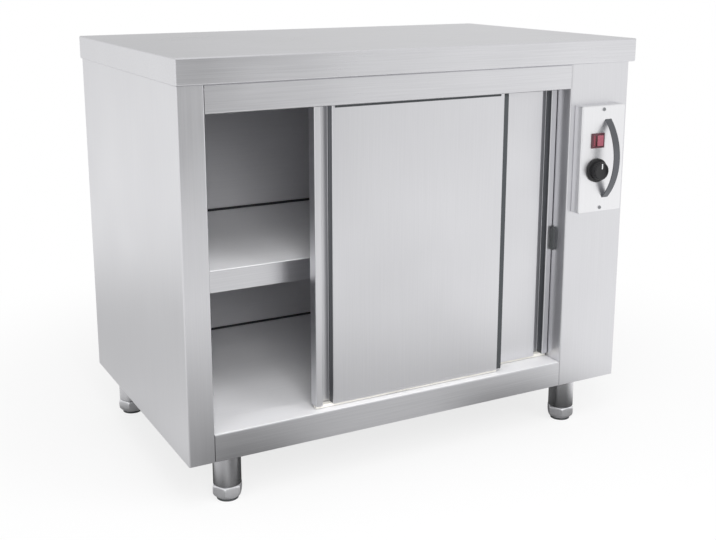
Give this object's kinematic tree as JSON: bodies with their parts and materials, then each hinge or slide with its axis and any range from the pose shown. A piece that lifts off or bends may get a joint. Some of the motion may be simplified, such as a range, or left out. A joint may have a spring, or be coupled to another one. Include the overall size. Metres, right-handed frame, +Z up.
{
  "type": "hot cupboard",
  "caption": "Free-standing stainless hot cupboard with worktop, sliding doors, a shelf, adjustable feet, and a fan heater run from a switch and thermostat on the right pillar.",
  "frame": {"origin": "on the floor, under the middle of the whole box, guard strip included", "axes": "+X to the right along the front, front at -Y, +Z up"},
  "size_m": [1.05, 0.702, 0.885],
  "materials": {
    "brushed_stainless": "fine brushed stainless sheet",
    "inner_stainless": "plain mill finish stainless sheet",
    "bright_stainless": "turned and polished stainless",
    "mineral_wool": "matted mineral wool",
    "white_nylon": "moulded nylon",
    "black_rubber": "moulded rubber",
    "black_plastic": "moulded thermoset plastic",
    "red_lens": "clear red moulded lens",
    "pale_plastic": "moulded plastic",
    "copper": "drawn copper",
    "motor_paint": "grey painted steel",
    "cast_aluminium": "pressed aluminium",
    "element_sheath": "oxidised metal sheath"
  },
  "bodies": {
    "cabinet": {"worktop": "brushed_stainless", "worktop_stiffeners": "inner_stainless", "left_side_panel": "brushed_stainless", "right_side_panel": "brushed_stainless", "control_pillar": "brushed_stainless", "back_panel": "brushed_stainless", "top_front_rail": "brushed_stainless", "bottom_front_rail": "brushed_stainless", "base_panel": "brushed_stainless", "left_liner": "inner_stainless", "back_liner": "inner_stainless", "ceiling_liner": "inner_stainless", "cavity_floor": "inner_stainless", "partition_wall": "inner_stainless", "wall_insulation": "mineral_wool", "shelf": "inner_stainless", "shelf_brackets": "inner_stainless", "door_track": "bright_stainless", "door_guide": "bright_stainless", "door_buffers": "black_rubber", "leg_tubes": "brushed_stainless", "leg_plugs": "bright_stainless", "control_box": "brushed_stainless", "control_screws": "bright_stainless", "guard_strip": "brushed_stainless", "switch_housing": "black_plastic", "thermostat": "pale_plastic", "thermostat_bulb": "copper", "fan_housing": "inner_stainless", "fan_motor": "motor_paint", "heating_element": "element_sheath", "terminal_block": "pale_plastic", "cable_gland": "black_plastic"},
    "left_door": {"left_door_front": "brushed_stainless", "left_door_back": "inner_stainless", "left_door_insulation": "mineral_wool", "left_door_hangers": "bright_stainless", "left_door_runner": "white_nylon"},
    "right_door": {"right_door_front": "brushed_stainless", "right_door_back": "inner_stainless", "right_door_insulation": "mineral_wool", "right_door_hangers": "bright_stainless", "right_door_runner": "white_nylon"},
    "knob": {"control_knob": "black_plastic", "thermostat_shaft": "bright_stainless"},
    "rocker": {"switch_rocker": "red_lens"},
    "fan": {"fan_wheel": "cast_aluminium"},
    "left_roller_a": {"left_door_roller_a": "white_nylon"},
    "left_roller_b": {"left_door_roller_b": "white_nylon"},
    "right_roller_a": {"right_door_roller_a": "white_nylon"},
    "right_roller_b": {"right_door_roller_b": "white_nylon"},
    "foot_pad_front_left": {"pad_front_left": "black_rubber"},
    "foot_screw_front_left": {"foot_front_left": "bright_stainless"},
    "foot_pad_front_right": {"pad_front_right": "black_rubber"},
    "foot_screw_front_right": {"foot_front_right": "bright_stainless"},
    "foot_pad_rear_left": {"pad_rear_left": "black_rubber"},
    "foot_screw_rear_left": {"foot_rear_left": "bright_stainless"},
    "foot_pad_rear_right": {"pad_rear_right": "black_rubber"},
    "foot_screw_rear_right": {"foot_rear_right": "bright_stainless"}
  },
  "joints": [
    {"name": "left_door_slide", "type": "slide", "parent": "cabinet", "child": "left_door", "axis": [1, 0, 0], "range_m": [-0.221, 0.1525]},
    {"name": "right_door_slide", "type": "slide", "parent": "cabinet", "child": "right_door", "axis": [1, 0, 0], "range_m": [-0.3735, 0]},
    {"name": "left_roller_a_turn", "type": "hinge", "parent": "left_door", "child": "left_roller_a", "pos_m": [-0.187, -0.269, 0.8084], "axis": [0, 1, 0], "range_deg": [-1272, 879]},
    {"name": "left_roller_b_turn", "type": "hinge", "parent": "left_door", "child": "left_roller_b", "pos_m": [0.138, -0.269, 0.8084], "axis": [0, 1, 0], "range_deg": [-1272, 879]},
    {"name": "right_roller_a_turn", "type": "hinge", "parent": "right_door", "child": "right_roller_a", "pos_m": [0.296, -0.237, 0.8084], "axis": [0, 1, 0], "range_deg": [-2145, 5]},
    {"name": "right_roller_b_turn", "type": "hinge", "parent": "right_door", "child": "right_roller_b", "pos_m": [-0.029, -0.237, 0.8084], "axis": [0, 1, 0], "range_deg": [-2145, 5]},
    {"name": "knob_turn", "type": "hinge", "parent": "cabinet", "child": "knob", "pos_m": [0.414, -0.317, 0.606], "axis": [0, 1, 0], "range_deg": [0, 270]},
    {"name": "rocker_rock", "type": "hinge", "parent": "cabinet", "child": "rocker", "pos_m": [0.414, -0.316, 0.671], "axis": [0, 0, 1], "range_deg": [0, 20]},
    {"name": "fan_spin", "type": "hinge", "parent": "cabinet", "child": "fan", "pos_m": [0.3705, 0.047, 0.315], "axis": [1, 0, 0], "continuous": true},
    {"name": "foot_front_left_travel", "type": "slide", "parent": "cabinet", "child": "foot_pad_front_left", "axis": [0, 0, -1], "range_m": [0, 0.02]},
    {"name": "foot_front_left_turn", "type": "hinge", "parent": "foot_pad_front_left", "child": "foot_screw_front_left", "pos_m": [-0.424, -0.231, 0.0054], "axis": [0, 0, 1], "range_deg": [0, 3600]},
    {"name": "foot_front_right_travel", "type": "slide", "parent": "cabinet", "child": "foot_pad_front_right", "axis": [0, 0, -1], "range_m": [0, 0.02]},
    {"name": "foot_front_right_turn", "type": "hinge", "parent": "foot_pad_front_right", "child": "foot_screw_front_right", "pos_m": [0.414, -0.231, 0.0054], "axis": [0, 0, 1], "range_deg": [0, 3600]},
    {"name": "foot_rear_left_travel", "type": "slide", "parent": "cabinet", "child": "foot_pad_rear_left", "axis": [0, 0, -1], "range_m": [0, 0.02]},
    {"name": "foot_rear_left_turn", "type": "hinge", "parent": "foot_pad_rear_left", "child": "foot_screw_rear_left", "pos_m": [-0.464, 0.283, 0.0054], "axis": [0, 0, 1], "range_deg": [0, 3600]},
    {"name": "foot_rear_right_travel", "type": "slide", "parent": "cabinet", "child": "foot_pad_rear_right", "axis": [0, 0, -1], "range_m": [0, 0.02]},
    {"name": "foot_rear_right_turn", "type": "hinge", "parent": "foot_pad_rear_right", "child": "foot_screw_rear_right", "pos_m": [0.454, 0.283, 0.0054], "axis": [0, 0, 1], "range_deg": [0, 3600]}
  ],
  "couplings": [
    {"joint": "left_roller_a_turn", "follows": "left_door_slide", "rad_per_m": 100},
    {"joint": "left_roller_b_turn", "follows": "left_door_slide", "rad_per_m": 100},
    {"joint": "right_roller_a_turn", "follows": "right_door_slide", "rad_per_m": 100},
    {"joint": "right_roller_b_turn", "follows": "right_door_slide", "rad_per_m": 100},
    {"joint": "foot_front_left_travel", "follows": "foot_front_left_turn", "m_per_rad": 0.00031831},
    {"joint": "foot_front_right_travel", "follows": "foot_front_right_turn", "m_per_rad": 0.00031831},
    {"joint": "foot_rear_left_travel", "follows": "foot_rear_left_turn", "m_per_rad": 0.00031831},
    {"joint": "foot_rear_right_travel", "follows": "foot_rear_right_turn", "m_per_rad": 0.00031831}
  ]
}
